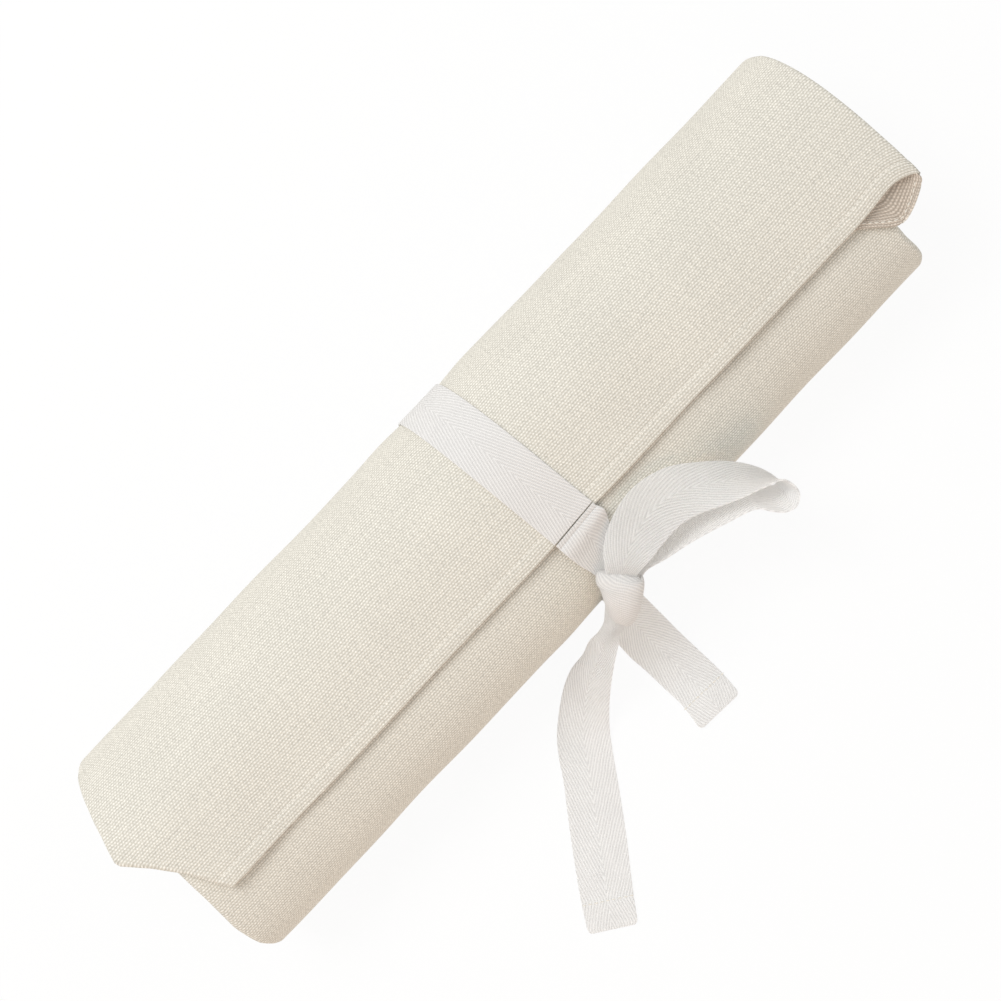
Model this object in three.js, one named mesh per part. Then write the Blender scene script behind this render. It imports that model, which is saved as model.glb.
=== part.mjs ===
import * as THREE from 'three';

// Rolled canvas knife roll tied with cotton tape. Millimetres, +Z up, +X along the roll.
// The section is drawn with p to the knot side (p = -Y) and z up; angles are in degrees.

// Section of the roll: an oval spiral wound from the flap edge inward, flattened where it lies.
const HALF_WIDTH = 62.5;
const HALF_HEIGHT = 45;
const CENTRE_P = 1;
const FLATTENED = 1.5;
const TIGHTEN_START = 335;
const TIGHTEN_TURN = 88;
const TIGHTEN = 8;
const TIGHTEN_POWER = 1.2;
const TIGHTEN_WIDE = 1.3;
const TIGHTEN_HIGH = 0.9;
const FLAT_FROM = 255.17;
const FLAT_TO = 284.83;

// The sewn lines divide the cloth into panels, listed from the flap edge to the inner end.
const PANELS = ['flap', 'upper_left', 'left', 'lower_left', 'base', 'lower_right',
  'right', 'upper_right', 'inner_top', 'inner_left', 'inner_end'];
const SEAMS = [65.6, 118, 158, 202, 242, 298, 338, 382, 425, 480, 530, 585];
const BASE = 4;
const FIRST_SLOT = 2;
const FIRST_TIGHT_COVER = 2;

// Cloth and tape thickness, and the small gaps between the layers.
const PLY = 1.1;
const PLY_GAP = 0.3;
const SEAM_GAP = 0.4;
const PANEL_PLY = 1.4;
const PANEL_GAP = 0.4;
const SLOT_EASE = 5;
const FOLD_WALL = 1.6;
const TAPE = 1;
const TAPE_GAP = 0.2;
const TAPE_WIDTH = 25;

// Where the cloth ends along X, by section angle: the pocket fold and the cover fold.
const POCKET_FOLD = [[65.6, -199], [107, -226], [150, -221], [180, -219], [270, -217], [340, -215], [590, -213]];
const COVER_FOLD = [[65.6, 234], [107, 231], [180, 229.5], [270, 223], [340, 216], [425, 214], [590, 212]];
const SLOT_MOUTH = 48;
const COVER_DEPTH = 108;
const TAPE_CENTRE = [[65.6, 19], [180, 10], [270, 4], [371, 6]];

// The tie in front of the flap: pairs of edge points along each tape.
const FRONT = [
  [[6.4, -28.6, 85], [32.4, -27.6, 85.2]],
  [[7, -37.5, 77], [32.3, -33, 79.8]],
  [[8.9, -48.5, 69], [26.5, -42.2, 73]],
  [[8.9, -54.2, 66.6], [19.4, -50.6, 70.6]],
];
const LOOP = [
  [[11.5, -51.5, 74.5], [22.3, -61.8, 74]],
  [[21, -46.5, 75], [29.3, -61.5, 76.5]],
  [[33.4, -37.4, 75.8], [40.1, -60.4, 76.8]],
  [[47.9, -33.8, 76.5], [51.5, -60.5, 77.5]],
  [[64, -38, 76], [60.9, -63.5, 78.5]],
  [[76.6, -47.3, 71], [69, -67.5, 81]],
  [[87.8, -58.6, 64], [78.3, -71.7, 82]],
  [[94.6, -69.9, 57.5], [87.5, -75.3, 80.5]],
  [[96.7, -78.6, 54], [96.1, -79.6, 78.5]],
  [[95.1, -80.8, 53.5], [97.7, -85.2, 76.5]],
  [[93.2, -80.1, 53.6], [96.5, -89.6, 75]],
  [[91.8, -78.7, 54.4], [92.2, -92.1, 74]],
  [[88.7, -75.4, 55], [86.9, -90.4, 74]],
  [[85.6, -72.1, 55], [82.9, -85.5, 75]],
  [[80.6, -67.5, 55], [79.3, -79.1, 76]],
  [[66.3, -62.8, 52.7], [65, -72.3, 75]],
  [[52.5, -60.8, 51.5], [50.3, -67, 73]],
  [[36.8, -60.4, 54], [35.5, -65, 71]],
  [[21.8, -66.5, 57], [22.6, -69.2, 66]],
];
const LONG_TAIL = [
  [[-9.7, -71.7, 38], [-7.2, -79.2, 48]],
  [[-21.4, -73.2, 20], [-16.5, -87.2, 36]],
  [[-34, -76.6, 8], [-26.4, -95.9, 20]],
  [[-47.3, -83.5, 2], [-33.7, -103.1, 8]],
  [[-58.4, -92.1, 1], [-41.2, -110.7, 2.5]],
  [[-71.8, -108.7, 1], [-52.2, -125.2, 1]],
  [[-90.4, -131.5, 1], [-69.8, -147, 1]],
  [[-117.2, -168, 1], [-96.9, -181.8, 1]],
];
const SHORT_TAIL = [
  [[17, -72, 47], [1, -78, 45]],
  [[17.7, -76.5, 34], [-4.5, -81, 33]],
  [[17.8, -82, 22], [-7, -84, 22]],
  [[17.7, -89, 12.5], [-7.6, -89.5, 12.5]],
  [[17.6, -97.5, 5.5], [-7.9, -97.4, 5.5]],
  [[17.3, -111.3, 1.6], [-8.4, -111.3, 1.6]],
  [[16.1, -141.7, 1], [-9.6, -140.3, 1]],
];
const KNOT_CENTRE = [6.2, -68.4, 59];
const KNOT_ACROSS = [0.687, -0.727, 0];
const KNOT_ALONG = [0.596, 0.563, 0.574];
const KNOT_RADII = [11, 8.5, 18];

const CANVAS_COLOUR = 0xe7e4db;
const LINING_COLOUR = 0xd4cec0;
const TAPE_COLOUR = 0xebeae4;

function lookUp(table, at) {
  if (at <= table[0][0]) {
    return table[0][1];
  }
  for (let i = 1; i < table.length; i += 1) {
    const [x1, y1] = table[i];
    if (at <= x1) {
      const [x0, y0] = table[i - 1];
      return y0 + (y1 - y0) * (at - x0) / (x1 - x0);
    }
  }
  return table[table.length - 1][1];
}

// A point of the outer face in the section.
function outerFace(angle) {
  const turned = Math.max(0, angle - TIGHTEN_START) / TIGHTEN_TURN;
  const tighter = TIGHTEN * turned ** TIGHTEN_POWER;
  const a = THREE.MathUtils.degToRad(angle);
  const p = CENTRE_P + (HALF_WIDTH - TIGHTEN_WIDE * tighter) * Math.cos(a);
  const z = HALF_HEIGHT - FLATTENED + (HALF_HEIGHT - TIGHTEN_HIGH * tighter) * Math.sin(a);
  return new THREE.Vector2(p, Math.max(0, z));
}

// The direction into the roll, square to the outer face.
function inward(angle) {
  const along = outerFace(angle + 0.05).sub(outerFace(angle - 0.05)).normalize();
  return new THREE.Vector2(-along.y, along.x);
}

function layerPoint(angle, depth) {
  return outerFace(angle).addScaledVector(inward(angle), depth);
}

function toRow(x, section) {
  return new THREE.Vector3(x, -section.x, section.y);
}

// A closed sheet from two grids of points, one for each face.
function sheet(rows, cols, place) {
  const points = [];
  for (let side = 0; side < 2; side += 1) {
    for (let r = 0; r < rows; r += 1) {
      for (let c = 0; c < cols; c += 1) {
        points.push(place(r, c, side));
      }
    }
  }
  const at = (side, r, c) => (side * rows + r) * cols + c;
  const faces = [];
  const quad = (a, b, c, d) => faces.push([a, b, c], [a, c, d]);
  for (let r = 0; r < rows - 1; r += 1) {
    for (let c = 0; c < cols - 1; c += 1) {
      quad(at(0, r, c), at(0, r + 1, c), at(0, r + 1, c + 1), at(0, r, c + 1));
      quad(at(1, r, c), at(1, r, c + 1), at(1, r + 1, c + 1), at(1, r + 1, c));
    }
  }
  for (let r = 0; r < rows - 1; r += 1) {
    quad(at(0, r, 0), at(1, r, 0), at(1, r + 1, 0), at(0, r + 1, 0));
    quad(at(0, r, cols - 1), at(0, r + 1, cols - 1), at(1, r + 1, cols - 1), at(1, r, cols - 1));
  }
  for (let c = 0; c < cols - 1; c += 1) {
    quad(at(0, 0, c), at(0, 0, c + 1), at(1, 0, c + 1), at(1, 0, c));
    quad(at(0, rows - 1, c), at(1, rows - 1, c), at(1, rows - 1, c + 1), at(0, rows - 1, c + 1));
  }
  return solid(points, faces);
}

// An outward-facing mesh geometry from shared points and triangles.
function solid(points, faces) {
  let volume = 0;
  for (const [a, b, c] of faces) {
    volume += points[a].dot(points[b].clone().cross(points[c]));
  }
  const ordered = volume > 0 ? faces : faces.map(([a, b, c]) => [a, c, b]);
  const geometry = new THREE.BufferGeometry();
  geometry.setAttribute('position', new THREE.Float32BufferAttribute(points.flatMap((v) => v.toArray()), 3));
  geometry.setIndex(ordered.flat());
  geometry.computeVertexNormals();
  return geometry;
}

const part = new THREE.Group();
part.name = 'knife_roll';

function add(name, geometry, colour) {
  const material = new THREE.MeshStandardMaterial({ color: colour, roughness: 0.95 });
  const mesh = new THREE.Mesh(geometry, material);
  mesh.name = name;
  part.add(mesh);
}

// Half the gap at a sewn line, as a section angle.
function gapAngle(angle) {
  const perDegree = outerFace(angle + 0.5).distanceTo(outerFace(angle - 0.5));
  return SEAM_GAP / 2 / perDegree;
}

// The angles at which a panel is divided into flat facets.
function facetAngles(panel) {
  const from = SEAMS[panel] + gapAngle(SEAMS[panel]);
  const to = SEAMS[panel + 1] - gapAngle(SEAMS[panel + 1]);
  if (panel === BASE) {
    return [from, 248.6, FLAT_FROM, 270, FLAT_TO, 291.4, to];
  }
  return [0, 0.25, 0.5, 0.75, 1].map((f) => from + (to - from) * f);
}

// How far the cloth gives way over the tape that it lies on.
function tapeDent(angle) {
  return Math.max(0, TAPE + TAPE_GAP - outerFace(angle).y);
}

// One ply of the shell over a panel.
function shellPly(panel, depth) {
  const angles = facetAngles(panel);
  const dented = panel === BASE;
  const cols = dented ? 6 : 2;
  return sheet(angles.length, cols, (r, c, side) => {
    const angle = angles[r];
    const centre = lookUp(TAPE_CENTRE, angle);
    const edge = TAPE_WIDTH / 2 + 1;
    const low = lookUp(POCKET_FOLD, angle);
    const high = lookUp(COVER_FOLD, angle);
    const across = [low, centre - edge - 3, centre - edge, centre + edge, centre + edge + 3, high];
    const x = dented ? across[c] : [low, high][c];
    const dent = dented && (c === 2 || c === 3) ? tapeDent(angle) : 0;
    return toRow(x, layerPoint(angle, depth + side * PLY + dent));
  });
}

// A cloth panel inside the shell, sewn at the seams and loose between them, closed by a fold at one end.
function innerPanel(panel, low, high, foldAtLow) {
  const from = SEAMS[panel] + 2 * gapAngle(SEAMS[panel]);
  const to = SEAMS[panel + 1] - 2 * gapAngle(SEAMS[panel + 1]);
  const lined = 2 * PLY + PLY_GAP;
  const a = layerPoint(from, lined + PANEL_GAP);
  const b = layerPoint(to, lined + PANEL_GAP);
  const chord = b.clone().sub(a).normalize();
  const into = new THREE.Vector2(-chord.y, chord.x);
  const shares = [0, 0.2, 0.4, 0.6, 0.8, 1];
  return sheet(shares.length, 4, (r, c, side) => {
    const f = shares[r];
    const angle = from + (to - from) * f;
    const lowX = low(angle);
    const highX = high(angle);
    const steps = foldAtLow
      ? [lowX, lowX + FOLD_WALL, lowX + FOLD_WALL + 0.1, highX]
      : [lowX, highX - FOLD_WALL - 0.1, highX - FOLD_WALL, highX];
    const inFold = foldAtLow ? c < 2 : c > 1;
    if (side === 0 && inFold) {
      return toRow(steps[c], layerPoint(angle, lined + PLY_GAP));
    }
    const lean = inward(from).multiplyScalar(1 - f).addScaledVector(inward(to), f).normalize();
    const thick = PANEL_PLY / lean.dot(into);
    const section = a.clone().lerp(b, f).addScaledVector(into, SLOT_EASE * 4 * f * (1 - f));
    return toRow(steps[c], section.addScaledVector(lean, side * thick));
  });
}

// The cover over the flap panels lies close against the lining.
function closeCover(panel) {
  const angles = facetAngles(panel);
  const depth = 2 * PLY + PLY_GAP + PANEL_GAP;
  return sheet(angles.length, 2, (r, c, side) => {
    const high = lookUp(COVER_FOLD, angles[r]);
    return toRow(c === 0 ? high - COVER_DEPTH : high, layerPoint(angles[r], depth + side * PANEL_PLY));
  });
}

// The tape laid round the outside of the roll over one panel.
function wrappedTape(panel, count) {
  const angles = facetAngles(panel).slice(0, count);
  return sheet(angles.length, 2, (r, c, side) => {
    const dent = panel === BASE ? tapeDent(angles[r]) : 0;
    const depth = dent - TAPE_GAP - (1 - side) * TAPE;
    const x = lookUp(TAPE_CENTRE, angles[r]) + (c - 0.5) * TAPE_WIDTH;
    return toRow(x, layerPoint(angles[r], depth));
  });
}

// A free length of tape from its two edges.
function tapeBetween(edges) {
  const left = edges.map(([a]) => new THREE.Vector3(...a));
  const right = edges.map(([, b]) => new THREE.Vector3(...b));
  const middle = left.map((v, i) => v.clone().add(right[i]).multiplyScalar(0.5));
  const face = middle.map((v, i) => {
    const before = middle[Math.max(0, i - 1)];
    const after = middle[Math.min(middle.length - 1, i + 1)];
    return after.clone().sub(before).cross(right[i].clone().sub(left[i])).normalize();
  });
  return sheet(edges.length, 2, (r, c, side) => {
    const edge = c === 0 ? left[r] : right[r];
    const point = edge.clone().addScaledVector(face[r], (side - 0.5) * TAPE);
    point.z = Math.max(point.z, 0.1 + (edge.z <= 1 && (side === 1) === (face[r].z > 0) ? TAPE : 0));
    return point;
  });
}

// The knot, a rounded lump of wound tape.
function knotLump() {
  const rings = 9;
  const around = 16;
  const points = [new THREE.Vector3(0, 0, -1)];
  const faces = [];
  for (let i = 1; i < rings; i += 1) {
    const lift = Math.PI * (i / rings - 0.5);
    for (let j = 0; j < around; j += 1) {
      const turn = 2 * Math.PI * j / around;
      points.push(new THREE.Vector3(Math.cos(lift) * Math.cos(turn), Math.cos(lift) * Math.sin(turn), Math.sin(lift)));
    }
  }
  points.push(new THREE.Vector3(0, 0, 1));
  const last = points.length - 1;
  for (let j = 0; j < around; j += 1) {
    const k = (j + 1) % around;
    faces.push([0, 1 + k, 1 + j], [last, last - around + j, last - around + k]);
    for (let i = 0; i < rings - 2; i += 1) {
      const low = 1 + i * around;
      const high = low + around;
      faces.push([low + j, low + k, high + k], [low + j, high + k, high + j]);
    }
  }
  const across = new THREE.Vector3(...KNOT_ACROSS).normalize();
  const along = new THREE.Vector3(...KNOT_ALONG).normalize();
  const axes = [across, along.clone().cross(across), along];
  const shaped = points.map((v) => {
    const placed = new THREE.Vector3(...KNOT_CENTRE);
    v.toArray().forEach((share, i) => {
      const full = Math.sign(share) * Math.abs(share) ** 0.8;
      placed.addScaledVector(axes[i], KNOT_RADII[i] * full);
    });
    return placed;
  });
  return solid(shaped, faces);
}

PANELS.forEach((name, panel) => {
  add(`canvas_${name}`, shellPly(panel, 0), CANVAS_COLOUR);
  add(`lining_${name}`, shellPly(panel, PLY + PLY_GAP), LINING_COLOUR);
  const pocketFold = (angle) => lookUp(POCKET_FOLD, angle);
  const coverFold = (angle) => lookUp(COVER_FOLD, angle);
  const coverHem = (angle) => coverFold(angle) - COVER_DEPTH;
  if (panel >= FIRST_SLOT) {
    add(`slot_${name}`, innerPanel(panel, pocketFold, () => SLOT_MOUTH, true), CANVAS_COLOUR);
  }
  const cover = panel >= FIRST_TIGHT_COVER ? innerPanel(panel, coverHem, coverFold, false) : closeCover(panel);
  add(`cover_${name}`, cover, CANVAS_COLOUR);
});

for (let panel = 0; panel < 7; panel += 1) {
  const facets = panel === 6 ? 4 : 7;
  add(`tape_${PANELS[panel]}`, wrappedTape(panel, facets), TAPE_COLOUR);
}
add('tie_front', tapeBetween(FRONT), TAPE_COLOUR);
add('tie_knot', knotLump(), TAPE_COLOUR);
add('tie_loop', tapeBetween(LOOP), TAPE_COLOUR);
add('long_tail', tapeBetween(LONG_TAIL), TAPE_COLOUR);
add('short_tail', tapeBetween(SHORT_TAIL), TAPE_COLOUR);

export default part;
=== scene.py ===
# %% [markdown]
# A canvas knife roll, rolled up and tied round the middle with cotton tape in a half bow.
# The packed CAD part is loaded first and stays fixed. Every piece below is cloth, so each one
# replaces its plain CAD solid with a formed sheet that lies in the same place.

# %% Load the packed part
import math

import bpy
import numpy as np
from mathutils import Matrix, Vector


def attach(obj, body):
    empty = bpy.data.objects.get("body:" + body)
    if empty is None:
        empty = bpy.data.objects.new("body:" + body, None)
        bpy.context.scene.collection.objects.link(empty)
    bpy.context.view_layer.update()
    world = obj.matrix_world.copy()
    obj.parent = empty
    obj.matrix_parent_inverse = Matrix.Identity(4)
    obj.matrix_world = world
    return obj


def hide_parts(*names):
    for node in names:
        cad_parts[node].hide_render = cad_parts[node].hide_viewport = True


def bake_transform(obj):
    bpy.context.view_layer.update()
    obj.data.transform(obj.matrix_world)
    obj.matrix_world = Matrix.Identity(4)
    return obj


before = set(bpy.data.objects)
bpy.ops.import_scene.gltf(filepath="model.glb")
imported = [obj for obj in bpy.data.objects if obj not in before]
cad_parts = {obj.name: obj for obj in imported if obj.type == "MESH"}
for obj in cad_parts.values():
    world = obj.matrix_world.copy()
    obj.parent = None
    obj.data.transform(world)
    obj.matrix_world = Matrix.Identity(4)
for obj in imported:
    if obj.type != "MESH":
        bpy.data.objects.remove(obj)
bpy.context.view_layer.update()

MM = 0.001

# %% [markdown]
# The photograph looks straight down at the roll, which lies askew in the frame. A long lens
# 0.9 m above the table gives the same slight perspective.

# %% Camera
scene = bpy.context.scene
scene.view_settings.view_transform = "Standard"
CAMERA_FOOT, CAMERA_HEIGHT = (0.0043, 0.0044), 0.9
CAMERA_TURN = math.radians(-46.6)
FOCAL_LENGTH, SENSOR_WIDTH = 67.5, 36


def put_in(name, data):
    """A new object in the scene."""
    made = bpy.data.objects.new(name, data)
    scene.collection.objects.link(made)
    return made


camera = put_in("camera", bpy.data.cameras.new("camera"))
camera.data.lens, camera.data.sensor_width = FOCAL_LENGTH, SENSOR_WIDTH
camera.location = (*CAMERA_FOOT, CAMERA_HEIGHT)
camera.rotation_euler = (0, 0, CAMERA_TURN)
scene.camera = camera
print("camera", CAMERA_HEIGHT, "m up")

# %% [markdown]
# Light and cloth are both made of shader nodes. Wired one by one they would take many lines, so a
# small class writes them: arithmetic, noise measured in metres, colours and bump.

# %% Node helpers
class Sums:
    """Writes arithmetic as shader nodes. A value is a number, a colour or another node's output."""

    def __init__(self, material):
        self.nodes, self.links = material.node_tree.nodes, material.node_tree.links

    def put(self, socket, value):
        if isinstance(value, bpy.types.NodeSocket):
            self.links.new(value, socket)
        else:
            socket.default_value = value

    def node(self, kind, *values, operation=None):
        node = self.nodes.new("ShaderNode" + kind)
        if operation:
            node.operation = operation
        for socket, value in zip(node.inputs, values):
            self.put(socket, value)
        return node

    def do(self, operation, *values):
        return self.node("Math", *values, operation=operation).outputs[0]

    def uv(self):
        return self.node("SeparateXYZ", self.node("UVMap").outputs["UV"]).outputs[:2]

    def noise(self, u, v, per_u, per_v, detail=2.0, w=0.0):
        """A cloud about zero, with its grains per metre along U and V."""
        grains = self.do("MULTIPLY", u, per_u), self.do("MULTIPLY", v, per_v)
        cloud = self.node("TexNoise", self.node("CombineXYZ", *grains, w).outputs[0])
        cloud.inputs["Scale"].default_value, cloud.inputs["Detail"].default_value = 1.0, detail
        return self.do("SUBTRACT", cloud.outputs["Fac"], 0.5)

    def between(self, dark, light, factor):
        """A colour on the way from dark to light."""
        step = [b - a for a, b in zip(dark, light)]
        return self.node("VectorMath", factor, step, dark, operation="MULTIPLY_ADD").outputs[0]

    def tint(self, colour, factor):
        scale = self.node("VectorMath", colour, operation="SCALE")
        self.put(scale.inputs["Scale"], factor)
        return scale.outputs[0]

    def bump(self, height):
        node = self.node("Bump")
        node.inputs["Strength"].default_value = node.inputs["Distance"].default_value = 1.0
        self.links.new(height, node.inputs["Height"])
        return node.outputs["Normal"]


print("helpers", [name for name in vars(Sums) if not name.startswith("_")])

# %% [markdown]
# The background is pure white. More light would bleach the cloth, so the world and the floor show
# white to the camera, to mirrored rays and to rays through the thin tape, and the floor still takes
# the roll's soft shadow. Through the tape that white is painted light on the tape. The object is lit
# by an even fill, a soft key lamp from behind and a weak warm lamp in front.

# %% Light and floor
FILL_COLOUR, FILL = (1, 0.98, 0.95, 1), 0.62
FLOOR_COLOUR, FLOOR_GLOW = (0.96, 0.96, 0.95, 1), 0.92
FLOOR_HALF, FLOOR_Z = 3, -0.0004
LAMPS = {  # place, target, size, watts, colour
    "key": ((-0.3, 0.85, 1.45), (0, 0, 0.05), 0.8, 12.8, (1, 1, 1)),
    "warm_side": ((-0.6, -1.25, 0.55), (0, -0.05, 0.05), 1.0, 3.2, (1, 0.56, 0.27))}


def seen_or_through_tape(m):
    """One for the camera, and for mirrored and see-through rays; nothing for other light. Seen through the
    thin tape, the white is painted light on it.
    """
    path = m.node("LightPath").outputs
    total = path["Is Camera Ray"]
    for name in ("Is Glossy Ray", "Is Transmission Ray"):
        total = m.do("ADD", total, path[name])
        total.node.use_clamp = True
    return total


def white_to_camera_and_through_tape(owner, lit, colour, seen, share, output):
    """Gives light a coloured shader, and the camera, mirrored rays and rays through the tape a share of a
    white one.
    """
    owner.use_nodes = True
    owner.node_tree.nodes.clear()
    m = Sums(owner)
    lit, seen = m.node(lit, colour), m.node(seen, (1, 1, 1, 1), 1)
    # rays through the translucent tape see this white too: painted light on the tape
    share = m.do("MULTIPLY", seen_or_through_tape(m), share)
    mix = m.node("MixShader", share, lit.outputs[0], seen.outputs[0])
    m.node(output, mix.outputs[0])
    return lit


for name, (place, target, size, watts, colour) in LAMPS.items():
    lamp = put_in(name, bpy.data.lights.new(name, "AREA"))
    lamp.data.shape, lamp.data.size = "DISK", size
    lamp.data.energy, lamp.data.color = watts, colour
    lamp.location = place
    aim = Vector(target) - Vector(place)
    lamp.rotation_euler = aim.to_track_quat("-Z", "Y").to_euler()

scene.world = bpy.data.worlds.new("studio")
fill = white_to_camera_and_through_tape(scene.world, "Background", FILL_COLOUR, "Background", 1, "OutputWorld")
fill.inputs["Strength"].default_value = FILL
floor_look = bpy.data.materials.new("floor")
white_to_camera_and_through_tape(floor_look, "BsdfDiffuse", FLOOR_COLOUR, "Emission", FLOOR_GLOW, "OutputMaterial")
floor_mesh = bpy.data.meshes.new("floor")
corners = [(x * FLOOR_HALF, y * FLOOR_HALF, FLOOR_Z) for x, y in ((-1, -1), (1, -1), (1, 1), (-1, 1))]
floor_mesh.from_pydata(corners, [], [(0, 1, 2, 3)])
floor_mesh.materials.append(floor_look)
put_in("floor", floor_mesh)
print("lamps", {name: lamp[3] for name, lamp in LAMPS.items()}, "W")

# %% [markdown]
# The cloth is heavy plain-weave duck: thick threads along the roll, finer and closer ones round
# it. A picture of a weave would be the quick way. Here the threads are drawn by arithmetic on
# the cloth's own UV map, which is in metres, so they keep their size and follow every fold.
# A product of two cosines says which thread is on top, and it drives both colour and bump. The gap
# colour between the threads is partly their own tone and partly painted shade.
# No two threads are alike, so clouds of noise change them: each crossing, lint, thick places in a
# thread, lighter and darker threads, and a broad mottle. The lining is the same duck with painted
# shade: its colours are darker and browner than the canvas's, for the shade inside the roll.

# %% The woven finish
THICK_THREAD, FINE_THREAD = 1.29 * MM, 0.766 * MM
WANDER, STRAY = (45, 160), (260, 60, 2.0, 4.0)
WANDER_TURN, STRAY_TURN = 2.4, 2.0
CHECK_SHARE, RIB_SHARE, THREAD_LIFT = 0.25, 0.27, 0.4
WEAVE_CLOUDS = {  # grains per metre along U and V, detail, place in the noise, share of the shade
    "crossing": (757, 650, 1.0, 11.0, 0.42), "lint": (1900, 1900, 1.0, 5.0, 0.46),
    "slub": (420, 26, 2.0, 2.0, 0.14), "pick": (22, 700, 2.0, 7.0, 0.1), "mottle": (38, 30, 3.0, 9.0, 0.06)}


def cloth_material(name, roughness, sheen):
    material = bpy.data.materials.new(name)
    material.use_nodes = True
    shader = material.node_tree.nodes["Principled BSDF"]
    for socket, value in (("Roughness", roughness), ("Specular IOR Level", 0.2),
                          ("Sheen Weight", sheen), ("Sheen Roughness", 0.6)):
        shader.inputs[socket].default_value = value
    return material, shader, Sums(material)


def woven(name, gap, grain, relief):
    """Plain weave: thick threads spaced along U, fine ones spaced along V."""
    material, shader, m = cloth_material(name, 0.9, 0.08)
    u, v = m.uv()
    wander, stray = m.noise(u, v, *WANDER), m.noise(u, v, *STRAY)
    a = m.do("MULTIPLY_ADD", u, math.pi / THICK_THREAD, m.do("MULTIPLY", wander, WANDER_TURN))
    b = m.do("MULTIPLY_ADD", v, math.pi / FINE_THREAD, m.do("MULTIPLY", stray, STRAY_TURN))
    rib = m.do("COSINE", m.do("MULTIPLY", a, 2))
    check = m.do("MULTIPLY", m.do("COSINE", a), m.do("COSINE", b))
    height = m.do("MULTIPLY_ADD", check, CHECK_SHARE, m.do("MULTIPLY_ADD", rib, RIB_SHARE, 0.5))
    clouds, shade = {}, 1.0
    for cloud, (*noise, share) in WEAVE_CLOUDS.items():
        clouds[cloud] = m.noise(u, v, *noise)
        shade = m.do("MULTIPLY_ADD", clouds[cloud], share, shade)
    m.links.new(m.tint(m.between(gap, grain, height), shade), shader.inputs["Base Color"])
    uneven = m.do("MULTIPLY_ADD", m.do("ADD", clouds["crossing"], clouds["slub"]), THREAD_LIFT, height)
    m.links.new(m.bump(m.do("MULTIPLY", uneven, relief)), shader.inputs["Normal"])
    return material


# the gap colours are partly the threads' own tone and partly painted shade between the threads
CANVAS = woven("canvas_weave", (0.54, 0.515, 0.44), (0.985, 0.962, 0.895), 0.22 * MM)
# the lining is the canvas's duck with painted shade: darker, browner gap and grain colours
SHADED_LINING = woven("lining_weave_painted_shade", (0.36, 0.31, 0.255), (0.9, 0.815, 0.72), 0.3 * MM)
print("weave", THICK_THREAD, "by", FINE_THREAD, "m")

# %% [markdown]
# The tie is herringbone tape: twill lines that run up to a spine in the middle and down again.
# The lines come from one cosine of the distance along the tape and the distance from its middle,
# so the spine needs no drawing of its own. The tape is thin, and a share of the light goes through.

# %% Herringbone tape and sewing thread
LINES_ACROSS, LINES_ALONG, YARNS_ALONG = 702, 242, 1350
TAPE_WANDER, LINE_SHIFT, YARN_SHIFT, YARN_SHARE = (120, 240), 0.35, 0.5, 0.16
TAPE_DARK, TAPE_CONTRAST, TAPE_RELIEF = 0.885, 0.17, 0.16 * MM
TAPE_CLOUDS = (60, 90, 3.0, 3.0, 0.07), (1500, 1500, 1.0, 6.0, 0.2)
FUZZ_SCALE, FUZZ_SHARE, FUZZ_DARK, FUZZ_RELIEF = 2500, 0.2, 0.88, 0.05 * MM


def herringbone(name, colour, through):
    material, shader, m = cloth_material(name, 0.85, 0.05)
    u, v = m.uv()
    wander = m.noise(u, v, *TAPE_WANDER)

    def ripple(shift, lines):
        return m.do("COSINE", m.do("MULTIPLY", m.do("MULTIPLY_ADD", wander, shift, lines), 2 * math.pi))

    rise = m.do("MULTIPLY", m.do("ABSOLUTE", v), LINES_ACROSS)
    twill = ripple(LINE_SHIFT, m.do("SUBTRACT", rise, m.do("MULTIPLY", u, LINES_ALONG)))
    yarn = ripple(YARN_SHIFT, m.do("MULTIPLY", u, YARNS_ALONG))
    height = m.do("MULTIPLY_ADD", yarn, YARN_SHARE, m.do("MULTIPLY_ADD", twill, 0.5, 0.5))
    shade = m.do("MULTIPLY_ADD", height, TAPE_CONTRAST, TAPE_DARK)
    for *noise, share in TAPE_CLOUDS:
        shade = m.do("MULTIPLY_ADD", m.noise(u, v, *noise), share, shade)
    thin = m.node("BsdfTranslucent")
    look, relief = m.tint(colour, shade), m.bump(m.do("MULTIPLY", height, TAPE_RELIEF))
    for side, socket in ((shader, "Base Color"), (thin, "Color")):
        m.links.new(look, side.inputs[socket])
        m.links.new(relief, side.inputs["Normal"])
    mix = m.node("MixShader", through, shader.outputs[0], thin.outputs[0])
    m.links.new(mix.outputs[0], m.nodes["Material Output"].inputs["Surface"])
    return material


def sewing_thread(name, colour):
    material, shader, m = cloth_material(name, 0.7, 0.05)
    fuzz = m.node("TexNoise", m.node("TexCoord").outputs["Object"])
    fuzz.inputs["Scale"].default_value = FUZZ_SCALE
    shade = m.do("MULTIPLY_ADD", fuzz.outputs["Fac"], FUZZ_SHARE, FUZZ_DARK)
    m.links.new(m.tint(colour, shade), shader.inputs["Base Color"])
    m.links.new(m.bump(m.do("MULTIPLY", fuzz.outputs["Fac"], FUZZ_RELIEF)), shader.inputs["Normal"])
    return material


# lit and shaded copies of one tape: the copy against the cloth is painted darker and lets less light through,
# the copy in the air is painted lighter and lets more through
TAPE_SHADED_COPY = herringbone("tape_against_cloth_painted_shade", (0.905, 0.894, 0.882), 0.1)
TAPE_LIT_COPY = herringbone("tape_in_the_air_painted_light", (0.965, 0.963, 0.957), 0.52)
THREAD = sewing_thread("sewing_thread", (0.9, 0.87, 0.795))
print("tape lines per metre", LINES_ACROSS, LINES_ALONG)

# %% [markdown]
# Rolled up, the cloth follows an oval spiral that starts at the flap edge and winds inward. The
# section has p towards the knot (p = -Y) and z up, in millimetres, and the angle is in degrees.
# These are the same numbers as in the CAD source, with the corner at the table softened, because
# cloth doesn't crease where it merely lies.

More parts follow.
